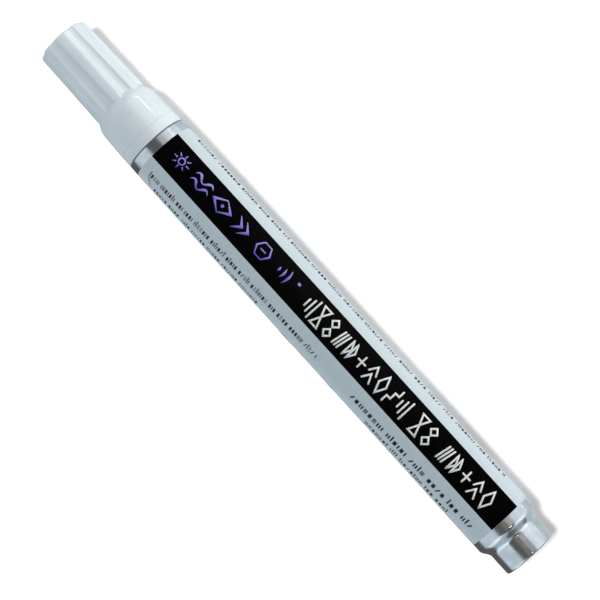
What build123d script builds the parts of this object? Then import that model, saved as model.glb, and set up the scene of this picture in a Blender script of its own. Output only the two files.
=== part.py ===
from build123d import *

# Valve-action marking pen for checking banknotes and other papers, capped and lying on its side.
#
# Units are millimetres. The pen lies along X with its cap towards -X and rests on Z = 0, and the
# origin is the bottom centre of its bounding box. A station is a distance along the pen from the
# end of the cap. Turned pieces are drawn in PROFILE, whose coordinates are station and radius.

import os
from math import cos, radians, sin, sqrt

# --- Whole pen ---
LENGTH = 141.5  # capped, end to end
BARREL_R = 7.18  # outside of the aluminium tube
BARREL_WALL = 0.45
INNER_R = BARREL_R - BARREL_WALL
LABEL_T = 0.07  # printed film with its adhesive
AXIS_Z = BARREL_R + LABEL_T
FIT = 0.05  # radial clearance of the pieces that slide

# --- Cap ---
CAP_END_R = 5.85
CAP_END_ROUND = 0.6
CAP_GRIP_R = 6.10
CAP_GRIP_END = 18.3
CAP_MOUTH = 29.05
SKIRT_FRONT = 21.2
SKIRT_FRONT_R = 7.0
SKIRT_REAR_R = 7.2
FLARE_R = 4.85  # rounding between the grip and the skirt
FLUTES = 8
FLUTE_ANGLE = 24.3  # centre of the first flute, from the top of the pen towards +Y
FLUTE_R = 3.0
FLUTE_DEPTH = 0.62
LINER_FRONT = 4.5
LINER_REAR = 16.6
LINER_R = 4.3

# --- Front section ---
TIP_FRONT = 12.5
TIP_REAR = 16.4
TIP_R = 3.3
SEAT_FRONT = 21.4
SEAT_R = 6.0  # bead that holds the cap
SEAT_RELIEF = 0.15  # depth of the seat on each side of the bead
COLLAR_REAR = 41.0
CHAMBER_FRONT = 26.8
CHAMBER_R = 4.6
SEAL_FRONT = 35.6
SEAL_DEPTH = 0.9
SEAL_LENGTH = 1.6

# --- Nib ---
NIB_R = 2.2
NIB_FRONT = 7.5
NIB_REAR = 25.0

# --- Valve ---
GASKET_T = 0.6
VALVE_FRONT = CHAMBER_FRONT + GASKET_T
VALVE_REAR = 37.0
SLEEVE_R = 3.4
SEAT_REAR = VALVE_FRONT + 2.0  # face that the stem washer closes on
STEM_R = 0.9
GUIDE_R = 1.1
HEAD_R = 2.6
WASHER_T = 0.8
HEAD_FRONT = SEAT_REAR + WASHER_T
HEAD_REAR = HEAD_FRONT + 1.0
STEM_REAR = 38.0
CAGE_FRONT = 36.4
WIRE_R = 0.2
COIL_R = 1.9
COIL_TURNS = 5

# --- Barrel, label and mixing ball ---
BARREL_FRONT = 29.2
LABEL_FRONT = 31.45
LABEL_REAR = 132.4
SHOULDER_FRONT = 134.2
NECK_FRONT = 136.75
NECK_R = 6.0
BALL_R = 3.0
BALL_STATION = 126.0

PROFILE = Plane(origin=(-LENGTH / 2, 0, AXIS_Z), x_dir=(1, 0, 0), z_dir=(0, -1, 0))
PEN_AXIS = Axis((-LENGTH / 2, 0, AXIS_Z), (1, 0, 0))


def square_plane(station):
    """A plane square to the pen that faces the tail, with its x along +Y and its y along +Z."""
    return Plane(origin=(station - LENGTH / 2, 0, AXIS_Z), x_dir=(0, 1, 0), z_dir=(1, 0, 0))


def make_cap_shell():
    """The outer cap: a fluted grip that flares into a skirt with a plain mouth band."""
    flare_front = 17.0
    flare_front_r = SKIRT_FRONT_R - FLARE_R + sqrt(FLARE_R**2 - (SKIRT_FRONT - flare_front) ** 2)
    band = 26.65
    groove = 0.1
    inside_front = 1.2
    pocket_r = LINER_R - 0.3
    pocket_rear = 17.2
    bore_front = 20.8
    bore_r = SEAT_R + FIT
    mouth_chamfer = 0.15
    with BuildPart() as cap_shell:
        with BuildSketch(PROFILE):
            with BuildLine():
                Polyline(
                    (0, 0),
                    (0, CAP_END_R),
                    (CAP_GRIP_END, CAP_GRIP_R),
                    (SKIRT_FRONT, CAP_GRIP_R),
                    (SKIRT_FRONT, 0),
                    close=True,
                )
            make_face()
        revolve(axis=PEN_AXIS)
        fillet(cap_shell.edges().group_by(Axis.X)[0], CAP_END_ROUND)
        with BuildSketch(square_plane(-1)):
            with PolarLocations(CAP_GRIP_R - FLUTE_DEPTH + FLUTE_R, FLUTES, start_angle=90 - FLUTE_ANGLE):
                Circle(FLUTE_R)
        extrude(amount=SKIRT_FRONT, mode=Mode.SUBTRACT)
        with BuildSketch(PROFILE):
            with BuildLine():
                RadiusArc((flare_front, flare_front_r), (SKIRT_FRONT, SKIRT_FRONT_R), FLARE_R)
                Polyline(
                    (SKIRT_FRONT, SKIRT_FRONT_R),
                    (band - groove, SKIRT_REAR_R),
                    (band, SKIRT_REAR_R - groove),
                    (band + groove, SKIRT_REAR_R),
                    (CAP_MOUTH, SKIRT_REAR_R),
                    (CAP_MOUTH, 0),
                    (flare_front, 0),
                    (flare_front, flare_front_r),
                )
            make_face()
        revolve(axis=PEN_AXIS)
        chamfer(cap_shell.edges().group_by(Axis.X)[-1], mouth_chamfer)
        with BuildSketch(PROFILE):
            with BuildLine():
                Polyline(
                    (inside_front, 0),
                    (inside_front, pocket_r),
                    (LINER_FRONT, pocket_r),
                    (LINER_FRONT, LINER_R),
                    (pocket_rear, LINER_R),
                    (bore_front, bore_r),
                    (CAP_MOUTH, bore_r),
                    (CAP_MOUTH, 0),
                    close=True,
                )
            make_face()
        revolve(axis=PEN_AXIS, mode=Mode.SUBTRACT)
    cap_shell.part.label = "cap_shell"
    export_step(cap_shell.part, "parts/cap_shell.step")


def make_cap_liner():
    """The inner cap, a soft cup pressed into the shell that seals round the tip of the pen."""
    wall = 0.7
    seal_front = 12.6
    seal_rear = 15.6
    seal_r = TIP_R + FIT
    cavity_r = 2.7
    with BuildPart() as cap_liner:
        with BuildSketch(PROFILE):
            with BuildLine():
                Polyline(
                    (LINER_FRONT, 0),
                    (LINER_FRONT, LINER_R),
                    (LINER_REAR, LINER_R),
                    (LINER_REAR, seal_r + 0.5),
                    (seal_rear, seal_r),
                    (seal_front, seal_r),
                    (seal_front - 1, cavity_r),
                    (LINER_FRONT + wall, cavity_r),
                    (LINER_FRONT + wall, 0),
                    close=True,
                )
            make_face()
        revolve(axis=PEN_AXIS)
    cap_liner.part.label = "cap_liner"
    export_step(cap_liner.part, "parts/cap_liner.step")


def make_front_section():
    """The moulded nose and collar: nib bore, cap seat, and the plug pressed into the tube."""
    edge = 0.35
    cone_front = 16.9
    cone_front_r = 3.7
    cone_rear_r = 5.35
    seat_low_r = SEAT_R - SEAT_RELIEF
    bead_front = 24.6
    bead_ramp = 0.5
    bead_length = 1.6
    plug_chamfer = 0.6
    channel_r = 0.45
    channels = 4
    with BuildPart() as front_section:
        with BuildSketch(PROFILE):
            with BuildLine():
                Polyline(
                    (TIP_FRONT, NIB_R + FIT),
                    (TIP_FRONT, TIP_R - edge),
                    (TIP_FRONT + edge, TIP_R),
                    (TIP_REAR, TIP_R),
                    (cone_front, cone_front_r),
                    (SEAT_FRONT - bead_ramp, cone_rear_r),
                    (SEAT_FRONT, seat_low_r),
                    (bead_front, seat_low_r),
                    (bead_front + bead_ramp, SEAT_R),
                    (bead_front + bead_length - bead_ramp, SEAT_R),
                    (bead_front + bead_length, seat_low_r),
                    (BARREL_FRONT, seat_low_r),
                    (BARREL_FRONT, INNER_R),
                    (SEAL_FRONT, INNER_R),
                    (SEAL_FRONT, INNER_R - SEAL_DEPTH),
                    (SEAL_FRONT + SEAL_LENGTH, INNER_R - SEAL_DEPTH),
                    (SEAL_FRONT + SEAL_LENGTH, INNER_R),
                    (COLLAR_REAR - plug_chamfer, INNER_R),
                    (COLLAR_REAR, INNER_R - plug_chamfer),
                    (COLLAR_REAR, CHAMBER_R),
                    (CHAMBER_FRONT, CHAMBER_R),
                    (CHAMBER_FRONT, NIB_R + FIT),
                    close=True,
                )
            make_face()
        revolve(axis=PEN_AXIS)
        with BuildSketch(square_plane(TIP_FRONT - 1)):
            with PolarLocations(NIB_R + FIT, channels, start_angle=45):
                Circle(channel_r)
        extrude(amount=CHAMBER_FRONT - TIP_FRONT + 1, mode=Mode.SUBTRACT)
    front_section.part.label = "front_section"
    export_step(front_section.part, "parts/front_section.step")


def make_tube_seal():
    """The elastomer ring that seals the front section in the tube, seated in its groove."""
    end_gap = 0.05
    with BuildPart() as tube_seal:
        with BuildSketch(PROFILE):
            with Locations((SEAL_FRONT + SEAL_LENGTH / 2, INNER_R - SEAL_DEPTH / 2)):
                Rectangle(SEAL_LENGTH - 2 * end_gap, SEAL_DEPTH)
        revolve(axis=PEN_AXIS)
    tube_seal.part.label = "tube_seal"
    export_step(tube_seal.part, "parts/tube_seal.step")


def make_nib():
    """The bullet nib of bonded polyester fibre, with a rounded writing tip."""
    tip_round = 0.9
    slope = 55  # degrees from the pen's axis where the round tip meets the flank
    flank_rear = 11.3
    rear_chamfer = 0.3
    round_end = (NIB_FRONT + tip_round * (1 - sin(radians(slope))), tip_round * cos(radians(slope)))
    flank_direction = (cos(radians(slope)), sin(radians(slope)))
    with BuildPart() as nib:
        with BuildSketch(PROFILE):
            with BuildLine():
                RadiusArc((NIB_FRONT, 0), round_end, tip_round)
                Spline(round_end, (flank_rear, NIB_R), tangents=[flank_direction, (1, 0)])
                Polyline(
                    (flank_rear, NIB_R),
                    (NIB_REAR - rear_chamfer, NIB_R),
                    (NIB_REAR, NIB_R - rear_chamfer),
                    (NIB_REAR, 0),
                    (NIB_FRONT, 0),
                )
            make_face()
        revolve(axis=PEN_AXIS)
    nib.part.label = "nib"
    export_step(nib.part, "parts/nib.step")


def make_valve_gasket():
    """The flat washer between the front section's shoulder and the valve body."""
    hole_r = 2.9
    edge_gap = 0.1
    with BuildPart() as valve_gasket:
        with BuildSketch(square_plane(CHAMBER_FRONT)):
            Circle(CHAMBER_R - edge_gap)
            Circle(hole_r, mode=Mode.SUBTRACT)
        extrude(amount=GASKET_T)
    valve_gasket.part.label = "valve_gasket"
    export_step(valve_gasket.part, "parts/valve_gasket.step")


def make_valve_body():
    """The valve cup: its front wall is the seat, and its sleeve holds the spring."""
    hole_r = 1.5
    lead_in = 0.4
    with BuildPart() as valve_body:
        with BuildSketch(PROFILE):
            with BuildLine():
                Polyline(
                    (VALVE_FRONT, hole_r + lead_in),
                    (VALVE_FRONT, CHAMBER_R),
                    (VALVE_REAR, CHAMBER_R),
                    (VALVE_REAR, SLEEVE_R),
                    (SEAT_REAR, SLEEVE_R),
                    (SEAT_REAR, hole_r),
                    (VALVE_FRONT + lead_in, hole_r),
                    close=True,
                )
            make_face()
        revolve(axis=PEN_AXIS)
    valve_body.part.label = "valve_body"
    export_step(valve_body.part, "parts/valve_body.step")


def make_valve_stem():
    """The plunger that the nib pushes: pin, poppet head and guide rod."""
    pin_edge = 0.2
    head_edge = 0.3
    rod_edge = 0.4
    with BuildPart() as valve_stem:
        with BuildSketch(PROFILE):
            with BuildLine():
                Polyline(
                    (NIB_REAR, 0),
                    (NIB_REAR, STEM_R - pin_edge),
                    (NIB_REAR + pin_edge, STEM_R),
                    (HEAD_FRONT, STEM_R),
                    (HEAD_FRONT, HEAD_R),
                    (HEAD_REAR - head_edge, HEAD_R),
                    (HEAD_REAR, HEAD_R - head_edge),
                    (HEAD_REAR, GUIDE_R),
                    (STEM_REAR - rod_edge, GUIDE_R),
                    (STEM_REAR, GUIDE_R - rod_edge),
                    (STEM_REAR, 0),
                    close=True,
                )
            make_face()
        revolve(axis=PEN_AXIS)
    valve_stem.part.label = "valve_stem"
    export_step(valve_stem.part, "parts/valve_stem.step")


def make_stem_washer():
    """The elastomer washer on the stem that closes against the seat."""
    with BuildPart() as stem_washer:
        with BuildSketch(square_plane(SEAT_REAR)):
            Circle(HEAD_R - 0.3)
            Circle(STEM_R, mode=Mode.SUBTRACT)
        extrude(amount=WASHER_T)
    stem_washer.part.label = "stem_washer"
    export_step(stem_washer.part, "parts/stem_washer.step")


def make_valve_spring():
    """The stainless compression spring round the guide rod, from the poppet head to the cage."""
    end_gap = 0.02
    coil_front = HEAD_REAR + WIRE_R + end_gap
    coil_rear = CAGE_FRONT - WIRE_R - end_gap
    length = coil_rear - coil_front
    with BuildPart() as valve_spring:
        with BuildLine():
            coil = Helix(
                pitch=length / COIL_TURNS,
                height=length,
                radius=COIL_R,
                center=(coil_front - LENGTH / 2, 0, AXIS_Z),
                direction=(1, 0, 0),
            )
        with BuildSketch(Plane(origin=coil @ 0, z_dir=coil % 0)):
            Circle(WIRE_R)
        sweep(path=coil, is_frenet=True)
    valve_spring.part.label = "valve_spring"
    export_step(valve_spring.part, "parts/valve_spring.step")


def make_valve_cage():
    """The perforated rear cap of the valve, with the boss that guides the stem."""
    flange_rear = 38.2
    boss_rear = 41.6
    boss_r = 2.0
    boss_end_wall = 0.8
    guide_bore_r = GUIDE_R + 0.1
    plug_gap = 0.02
    holes = 6
    hole_r = 0.5
    hole_circle_r = 2.72
    with BuildPart() as valve_cage:
        with BuildSketch(PROFILE):
            with BuildLine():
                Polyline(
                    (CAGE_FRONT, guide_bore_r),
                    (CAGE_FRONT, SLEEVE_R - plug_gap),
                    (VALVE_REAR, SLEEVE_R - plug_gap),
                    (VALVE_REAR, CHAMBER_R - plug_gap),
                    (flange_rear, CHAMBER_R - plug_gap),
                    (flange_rear, boss_r),
                    (boss_rear, boss_r),
                    (boss_rear, 0),
                    (boss_rear - boss_end_wall, 0),
                    (boss_rear - boss_end_wall, guide_bore_r),
                    close=True,
                )
            make_face()
        revolve(axis=PEN_AXIS)
        with BuildSketch(square_plane(CAGE_FRONT - 1)):
            with PolarLocations(hole_circle_r, holes, start_angle=30):
                Circle(hole_r)
        extrude(amount=flange_rear - CAGE_FRONT + 2, mode=Mode.SUBTRACT)
    valve_cage.part.label = "valve_cage"
    export_step(valve_cage.part, "parts/valve_cage.step")


def make_barrel():
    """The impact-extruded aluminium tube, drawn in at the tail to a neck with a dished base."""
    front_edge = 0.25
    rim_round = 0.5
    dish_depth = 0.4
    dish_r = 4.4
    dish_slope = 0.4
    base_t = 0.6
    shoulder_mid = (SHOULDER_FRONT + NECK_FRONT) / 2
    neck_inner_r = NECK_R - BARREL_WALL
    inner_shift = 0.15  # the shoulder's inside starts this much earlier, to keep its wall even
    with BuildPart() as barrel:
        with BuildSketch(PROFILE):
            with BuildLine():
                Polyline(
                    (BARREL_FRONT, INNER_R),
                    (BARREL_FRONT, BARREL_R - front_edge),
                    (BARREL_FRONT + front_edge, BARREL_R),
                    (SHOULDER_FRONT, BARREL_R),
                )
                Spline(
                    (SHOULDER_FRONT, BARREL_R),
                    (shoulder_mid, (BARREL_R + NECK_R) / 2),
                    (NECK_FRONT, NECK_R),
                    tangents=[(1, 0), (1, 0)],
                )
                Line((NECK_FRONT, NECK_R), (LENGTH - rim_round, NECK_R))
                RadiusArc((LENGTH - rim_round, NECK_R), (LENGTH, NECK_R - rim_round), rim_round)
                Polyline(
                    (LENGTH, NECK_R - rim_round),
                    (LENGTH, dish_r + dish_slope),
                    (LENGTH - dish_depth, dish_r),
                    (LENGTH - dish_depth, 0),
                    (LENGTH - dish_depth - base_t, 0),
                    (LENGTH - dish_depth - base_t, neck_inner_r),
                    (NECK_FRONT, neck_inner_r),
                )
                Spline(
                    (NECK_FRONT, neck_inner_r),
                    (shoulder_mid - inner_shift, (INNER_R + neck_inner_r) / 2),
                    (SHOULDER_FRONT - inner_shift, INNER_R),
                    tangents=[(-1, 0), (-1, 0)],
                )
                Line((SHOULDER_FRONT - inner_shift, INNER_R), (BARREL_FRONT, INNER_R))
            make_face()
        revolve(axis=PEN_AXIS)
    barrel.part.label = "barrel"
    export_step(barrel.part, "parts/barrel.step")


def make_label():
    """The printed film wrapped round the tube, with a narrow gap where its two ends meet."""
    seam_gap = 0.6
    seam_angle = 4  # from +Y, by way of the top
    with BuildPart() as label:
        with BuildSketch(square_plane(LABEL_FRONT)):
            Circle(BARREL_R + LABEL_T)
            Circle(BARREL_R, mode=Mode.SUBTRACT)
            with Locations(Rotation(0, 0, seam_angle)):
                Rectangle(BARREL_R + 1, seam_gap, align=(Align.MIN, Align.CENTER), mode=Mode.SUBTRACT)
        extrude(amount=LABEL_REAR - LABEL_FRONT)
    label.part.label = "label"
    export_step(label.part, "parts/label.step")


def make_mixing_ball():
    """The steel ball that stirs the ink when the pen is shaken, lying on the tube's wall."""
    drop = INNER_R - BALL_R - FIT
    with BuildPart() as mixing_ball:
        with Locations((BALL_STATION - LENGTH / 2, 0, AXIS_Z - drop)):
            Sphere(BALL_R)
    mixing_ball.part.label = "mixing_ball"
    export_step(mixing_ball.part, "parts/mixing_ball.step")


os.makedirs("parts", exist_ok=True)
make_cap_shell()
make_cap_liner()
make_front_section()
make_tube_seal()
make_nib()
make_valve_gasket()
make_valve_body()
make_valve_stem()
make_stem_washer()
make_valve_spring()
make_valve_cage()
make_barrel()
make_label()
make_mixing_ball()
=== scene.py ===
"""Looks of a capped, valve-action marking pen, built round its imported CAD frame.

The pen lies along X with its cap towards -X. Lengths on the pen are millimetres: a station is
measured along the pen from the end of the cap, a radius from its axis, and an angle from the
top of the pen towards +Y. PenSpace turns them into metres of the frame.
"""

import logging
import math
import random
from collections.abc import Callable, Sequence
from dataclasses import dataclass
from enum import Enum
from typing import Any, NamedTuple

import bmesh
import bpy
from mathutils import Matrix, Vector


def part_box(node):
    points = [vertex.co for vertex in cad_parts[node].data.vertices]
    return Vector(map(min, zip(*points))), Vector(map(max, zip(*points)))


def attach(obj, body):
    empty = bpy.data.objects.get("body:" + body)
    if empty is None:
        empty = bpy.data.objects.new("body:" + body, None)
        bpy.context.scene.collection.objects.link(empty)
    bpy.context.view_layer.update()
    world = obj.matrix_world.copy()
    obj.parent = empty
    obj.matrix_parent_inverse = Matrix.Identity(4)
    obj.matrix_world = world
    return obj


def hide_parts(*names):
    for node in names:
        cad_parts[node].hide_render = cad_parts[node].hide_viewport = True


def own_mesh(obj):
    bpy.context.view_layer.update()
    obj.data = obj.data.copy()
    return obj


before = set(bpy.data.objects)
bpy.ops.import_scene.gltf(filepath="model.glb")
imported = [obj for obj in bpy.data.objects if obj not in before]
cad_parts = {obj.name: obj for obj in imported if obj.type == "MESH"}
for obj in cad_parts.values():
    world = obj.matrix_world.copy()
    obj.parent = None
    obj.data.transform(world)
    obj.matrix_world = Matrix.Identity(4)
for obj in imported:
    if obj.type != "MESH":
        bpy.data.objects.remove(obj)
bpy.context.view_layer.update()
log = logging.getLogger("marking_pen")

MM = 0.001
NOISE_RANGE = (0.35, 0.65)  # the part of a noise's range that holds most of its values
Point2 = tuple[float, float]
Ring = list[bmesh.types.BMVert]


# --- Colours and shader nodes ---


class Hue(Enum):
    """Surface colours as sRGB hex values."""

    CAP_WHITE = "DFE8ED"
    CAP_SHADE = "D7E2E8"
    COLLAR_WHITE = "E4E7E8"
    LINER_MILK = "E9E8E2"
    ACETAL = "DCDDDB"
    ALUMINIUM = "C9D3D9"
    ALUMINIUM_DULL = "B7C2C9"
    FILM_ICE = "CBD8DE"
    FILM_COOL = "C4D2D9"
    INK_BLACK = "020203"
    INK_BLACK_WORN = "060607"
    INK_VIOLET = "6C5FD2"
    INK_LAVENDER = "A79BEE"
    INK_WHITE = "F1F3F3"
    INK_WHITE_THIN = "DFE3E4"
    INK_SLATE = "0F1618"
    INK_SLATE_THIN = "283338"
    SCUFF = "8B989E"
    FIBRE = "E7E5DA"
    FIBRE_DAMP = "CFD3D0"
    NITRILE = "17181A"
    NITRILE_BLOOM = "2B2D30"
    STAINLESS = "C3C3C1"
    BALL_STEEL = "CDCDCC"
    TABLE = "F4F4F4"


def linear(hue: Hue) -> tuple[float, float, float, float]:
    """Turns a hue's sRGB hex value into a linear colour.

    Args:
        hue: The colour to convert.

    Returns:
        Linear red, green and blue, and an alpha of 1.
    """
    channels = [int(hue.value[i : i + 2], 16) / 255 for i in (0, 2, 4)]
    r, g, b = (c / 12.92 if c <= 0.04045 else ((c + 0.055) / 1.055) ** 2.4 for c in channels)
    return r, g, b, 1.0


def add_node(
    tree: bpy.types.NodeTree,
    kind: str,
    settings: dict[str | int, Any] | None = None,
    links: dict[str | int, bpy.types.NodeSocket] | None = None,
) -> bpy.types.Node:
    """Adds one shader node with its settings and its incoming links.

    Args:
        tree: The node tree that gets the node.
        kind: The node's type name.
        settings: Property values by name, or input values by the input's name or number.
        links: Source sockets by the name or number of the input that they feed.

    Returns:
        The new node.
    """
    node = tree.nodes.new(kind)
    for key, value in (settings or {}).items():
        if isinstance(key, str) and hasattr(node, key):
            setattr(node, key, value)
        else:
            node.inputs[key].default_value = value
    for key, socket in (links or {}).items():
        tree.links.new(socket, node.inputs[key])
    return node


class Grain(NamedTuple):
    """A noise in a surface, with the real size of its features in millimetres."""

    along: float  # the pen
    across: float
    up: float
    detail: float = 2.0  # octaves of finer noise


def even(size: float, detail: float = 2.0) -> Grain:
    """Returns a grain of the same size in all directions."""
    return Grain(size, size, size, detail)


def add_noise(tree: bpy.types.NodeTree, grain: Grain) -> bpy.types.NodeSocket:
    """Adds a noise whose features have a grain's size on the real object.

    Args:
        tree: The material's node tree.
        grain: The size and detail of its features.

    Returns:
        The noise's factor socket, which is 0.5 on average.
    """
    place = add_node(tree, "ShaderNodeTexCoord")
    scale = tuple(1 / (size * MM) for size in grain[:3])
    mapping = add_node(tree, "ShaderNodeMapping", {"Scale": scale}, {"Vector": place.outputs["Object"]})
    settings = {"Scale": 1.0, "Detail": grain.detail}
    noise = add_node(tree, "ShaderNodeTexNoise", settings, {"Vector": mapping.outputs["Vector"]})
    return noise.outputs["Fac"]


# --- Finishes ---


@dataclass(frozen=True)
class Finish:
    """A surface finish: what a piece is made of and how its surface was made."""

    name: str
    main: Hue
    second: Hue
    roughness: float
    roughness_spread: float = 0.04
    ior: float = 1.5
    specular: float = 0.5
    metallic: float = 0.0
    sheen: float = 0.0
    clouds: Grain = even(1.0)  # varies the colour and the roughness
    relief: tuple[tuple[Grain, float], ...] = ()  # grains, lowest first, and their depths in millimetres

    def material(self) -> bpy.types.Material:
        """Gives the finish's material, which is built on its first use.

        Returns:
            The material.
        """
        known = bpy.data.materials.get(self.name)
        if known is not None:
            return known
        material = bpy.data.materials.new(self.name)
        material.use_nodes = True
        material.diffuse_color = linear(self.main)
        shader = material.node_tree.nodes["Principled BSDF"]
        shader.inputs["IOR"].default_value = self.ior
        shader.inputs["Specular IOR Level"].default_value = self.specular
        shader.inputs["Metallic"].default_value = self.metallic
        shader.inputs["Sheen Weight"].default_value = self.sheen
        self.texture(material.node_tree, shader)
        return material

    def texture(self, tree: bpy.types.NodeTree, shader: bpy.types.Node) -> None:
        """Adds the finish's changes of colour and roughness, and its relief.

        Args:
            tree: The material's node tree.
            shader: Its Principled shader.
        """
        grains = dict.fromkeys((self.clouds, *(grain for grain, _ in self.relief)))
        noises = {grain: add_noise(tree, grain) for grain in grains}
        self.colour(tree, shader, noises[self.clouds])
        low, high = NOISE_RANGE
        settings = {
            "From Min": low,
            "From Max": high,
            "To Min": self.roughness - self.roughness_spread,
            "To Max": self.roughness + self.roughness_spread,
        }
        rough = add_node(tree, "ShaderNodeMapRange", settings, {"Value": noises[self.clouds]})
        tree.links.new(rough.outputs["Result"], shader.inputs["Roughness"])
        below: dict[str | int, bpy.types.NodeSocket] = {}
        for grain, depth_mm in self.relief:
            links = {"Height": noises[grain], **below}
            bump = add_node(tree, "ShaderNodeBump", {"Strength": 1.0, "Distance": depth_mm * MM}, links)
            below = {"Normal": bump.outputs["Normal"]}
        for socket in below.values():
            tree.links.new(socket, shader.inputs["Normal"])

    def colour(
        self, tree: bpy.types.NodeTree, shader: bpy.types.Node, clouds: bpy.types.NodeSocket
    ) -> None:
        """Varies the colour with the finish's clouds."""
        self.grade(tree, shader, clouds, NOISE_RANGE)

    def grade(
        self,
        tree: bpy.types.NodeTree,
        shader: bpy.types.Node,
        factor: bpy.types.NodeSocket,
        ends: tuple[float, float],
    ) -> None:
        """Runs the colour from the main hue to the second as a factor rises.

        Args:
            tree: The material's node tree.
            shader: Its Principled shader.
            factor: The value that sets the colour.
            ends: The factors that give the main hue and the second.
        """
        limits = {"From Min": ends[0], "From Max": ends[1]}
        share = add_node(tree, "ShaderNodeMapRange", limits, {"Value": factor})
        hues = {"data_type": "RGBA", 6: linear(self.main), 7: linear(self.second)}
        mix = add_node(tree, "ShaderNodeMix", hues, {0: share.outputs["Result"]})
        tree.links.new(mix.outputs[2], shader.inputs["Base Color"])


@dataclass(frozen=True)
class MouldedPlastic(Finish):
    """Injection-moulded plastic from a polished tool.

    The eye sees a soft satin white: a clear streak of each lamp, faint flow lines along the
    moulding and a very fine unevenness that keeps the streak from being a ruled line. The grain
    of a real tool is nearer 0.05 mm, too fine to show.
    """

    clouds: Grain = Grain(9.0, 5.0, 5.0)
    relief: tuple[tuple[Grain, float], ...] = ((Grain(14.0, 0.35, 0.35), 0.001), (even(0.25), 0.0012))


@dataclass(frozen=True)
class ExtrudedAluminium(Finish):
    """Impact-extruded, trimmed and lacquered aluminium.

    The eye sees bright metal with shallow handling dents, fine rings round the tube from
    trimming, which spread each reflection along the pen, and duller smudges where hands have
    been. The real rings are nearer 0.03 mm apart.
    """

    metallic: float = 1.0
    clouds: Grain = even(2.5, detail=4.0)
    relief: tuple[tuple[Grain, float], ...] = ((even(3.0, detail=0.0), 0.02), (Grain(0.12, 9.0, 9.0), 0.0015))


@dataclass(frozen=True)
class LaminatedFilm(Finish):
    """Pale ice-blue film under a matt laminate, wrapped tightly round the tube.

    The eye sees an even satin colour with no streaks, slight orange peel from the adhesive and
    a faint brushed pattern that follows the wrapping direction.
    """

    clouds: Grain = Grain(0.14, 6.0, 6.0, detail=3.0)
    relief: tuple[tuple[Grain, float], ...] = ((even(0.6), 0.003), (clouds, 0.001))


@dataclass(frozen=True)
class ScreenInk(Finish):
    """Screen-printed ink under the label's laminate.

    The eye sees flat colour with a slightly thinner, paler patch here and there, and the mesh
    of the screen as the faintest of textures.
    """

    clouds: Grain = even(1.2, detail=3.0)
    relief: tuple[tuple[Grain, float], ...] = ((even(0.15), 0.0008),)


@dataclass(frozen=True)
class GradedInk(ScreenInk):
    """Screen ink printed as a blend from the first hue to the second, across the pen.

    The eye sees each sign turn from a deep violet at its foot to lavender at its head. Patches
    of thinner ink change only its gloss.
    """

    blend_mm: tuple[float, float] = (0.0, 1.0)  # where the blend starts and ends, across from the axis

    def colour(
        self, tree: bpy.types.NodeTree, shader: bpy.types.Node, clouds: bpy.types.NodeSocket
    ) -> None:
        """Adds the blend.

        Args:
            tree: The material's node tree.
            shader: Its Principled shader.
            clouds: The noise of thinner patches, which the blend leaves out.
        """
        place = add_node(tree, "ShaderNodeTexCoord")
        split = add_node(tree, "ShaderNodeSeparateXYZ", None, {"Vector": place.outputs["Object"]})
        foot, head = self.blend_mm
        self.grade(tree, shader, split.outputs["Y"], (foot * MM, head * MM))


@dataclass(frozen=True)
class BondedFibre(Finish):
    """Polyester fibre bonded with resin and ground to a point.

    The eye sees a dry, chalky off-white with fine fibres along the nib, and damp grey flecks.
    The grain shows bundles, because a single fibre is nearer 0.02 mm.
    """

    sheen: float = 0.25
    clouds: Grain = Grain(0.8, 0.25, 0.25, detail=4.0)
    relief: tuple[tuple[Grain, float], ...] = ((Grain(3.0, 0.12, 0.12, detail=3.0), 0.02),)


@dataclass(frozen=True)
class MouldedRubber(Finish):
    """Compression-moulded nitrile rubber.

    The eye sees dull black with a greyish bloom and a fine, irregular skin.
    """

    clouds: Grain = even(1.0, detail=3.0)
    relief: tuple[tuple[Grain, float], ...] = ((even(0.12), 0.006),)


@dataclass(frozen=True)
class DrawnSteel(Finish):
    """Drawn or ground stainless steel.

    The eye sees bright metal whose reflections are broken by fine drawing marks.
    """

    metallic: float = 1.0
    clouds: Grain = even(0.7, detail=3.0)
    relief: tuple[tuple[Grain, float], ...] = ((even(0.06), 0.0008),)


CAP_PLASTIC = MouldedPlastic(
    "moulded_polypropylene_cap", Hue.CAP_WHITE, Hue.CAP_SHADE, 0.14, roughness_spread=0.02, ior=1.49
)
COLLAR_PLASTIC = MouldedPlastic(
    "moulded_polypropylene_collar", Hue.COLLAR_WHITE, Hue.CAP_SHADE, 0.38, ior=1.49
)
LINER_PLASTIC = MouldedPlastic(
    "moulded_soft_polyethylene", Hue.LINER_MILK, Hue.COLLAR_WHITE, 0.5, ior=1.51
)
VALVE_PLASTIC = MouldedPlastic("moulded_acetal", Hue.ACETAL, Hue.COLLAR_WHITE, 0.33, ior=1.48)
BARE_METAL = ExtrudedAluminium(
    "extruded_aluminium_bare", Hue.ALUMINIUM, Hue.ALUMINIUM_DULL, 0.2, roughness_spread=0.05
)
FILM = LaminatedFilm("laminated_film_ice_blue", Hue.FILM_ICE, Hue.FILM_COOL, 0.5, specular=0.35)
BLACK_INK = ScreenInk("screen_ink_black", Hue.INK_BLACK, Hue.INK_BLACK_WORN, 0.6, specular=0.03)
WHITE_INK = ScreenInk("screen_ink_white", Hue.INK_WHITE, Hue.INK_WHITE_THIN, 0.5, specular=0.3)
VIOLET_INK = GradedInk(
    "screen_ink_violet", Hue.INK_VIOLET, Hue.INK_LAVENDER, 0.5, specular=0.3, blend_mm=(-0.3, 3.0)
)
SLATE_INK = ScreenInk("screen_ink_slate", Hue.INK_SLATE, Hue.INK_SLATE_THIN, 0.5, specular=0.3)
SCUFF_MARK = ScreenInk("film_scuff_grey", Hue.SCUFF, Hue.FILM_COOL, 0.6, specular=0.3)
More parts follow.
